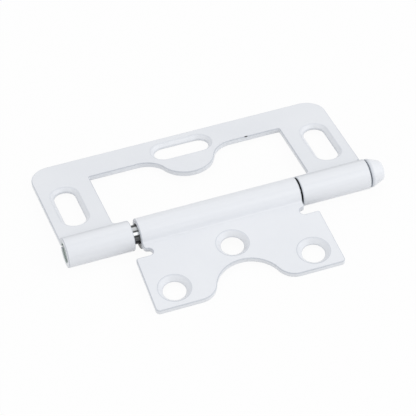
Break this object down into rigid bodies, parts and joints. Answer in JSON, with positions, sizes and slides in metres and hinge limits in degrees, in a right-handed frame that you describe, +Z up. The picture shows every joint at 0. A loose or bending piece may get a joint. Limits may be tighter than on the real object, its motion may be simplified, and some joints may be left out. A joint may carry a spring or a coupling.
{
  "type": "non-mortise hinge",
  "caption": "Non-mortise hinge lying open: a small notched leaf folds into the window of a U-shaped slotted leaf, on a bullet-headed pin through rolled knuckles, in white enamel.",
  "frame": {"origin": "on the pin axis, in the middle of the frame leaf's width, 3.7 mm above the table that the open hinge lies on", "axes": "+X along the pin towards its head, +Y back across the frame leaf, +Z up from the table, on the countersunk side"},
  "size_m": [0.0802, 0.057, 0.0074],
  "materials": {
    "leaf_enamel": "smooth white enamel on steel, half gloss",
    "pin_metal": "bright plated shank, head in the white enamel of the leaves"
  },
  "bodies": {
    "frame_side": {"frame_leaf": "leaf_enamel", "hinge_pin": "pin_metal"},
    "door_side": {"inner_leaf": "leaf_enamel"}
  },
  "joints": [
    {"name": "hinge_turn", "type": "hinge", "parent": "frame_side", "child": "door_side", "pos_m": [0, 0, 0], "axis": [1, 0, 0], "range_deg": [-192.49, 167.51]}
  ]
}
